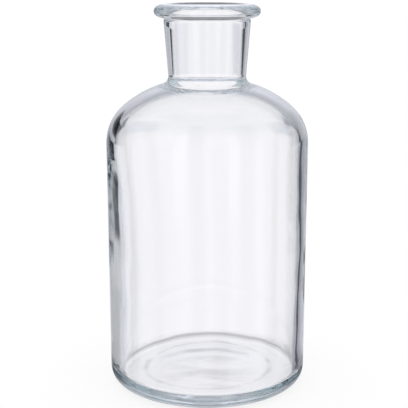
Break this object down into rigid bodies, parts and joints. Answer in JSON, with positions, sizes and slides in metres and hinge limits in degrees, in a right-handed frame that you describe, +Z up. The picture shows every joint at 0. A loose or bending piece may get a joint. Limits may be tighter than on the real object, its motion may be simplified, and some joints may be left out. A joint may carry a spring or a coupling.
{
  "type": "reagent bottle",
  "caption": "Clear glass reagent bottle: straight round body on a ring foot, domed shoulder, short tapered neck and rounded bead lip with an open mouth.",
  "frame": {"origin": "centre of the ring foot, on the plane the bottle stands on", "axes": "+Z up along the bottle's axis, out of the mouth; the bottle is round, so +X and +Y are free"},
  "size_m": [0.07, 0.07, 0.1334],
  "materials": {
    "glass": "clear, fire-polished"
  },
  "bodies": {
    "root": {"bottle": "glass"}
  },
  "joints": []
}
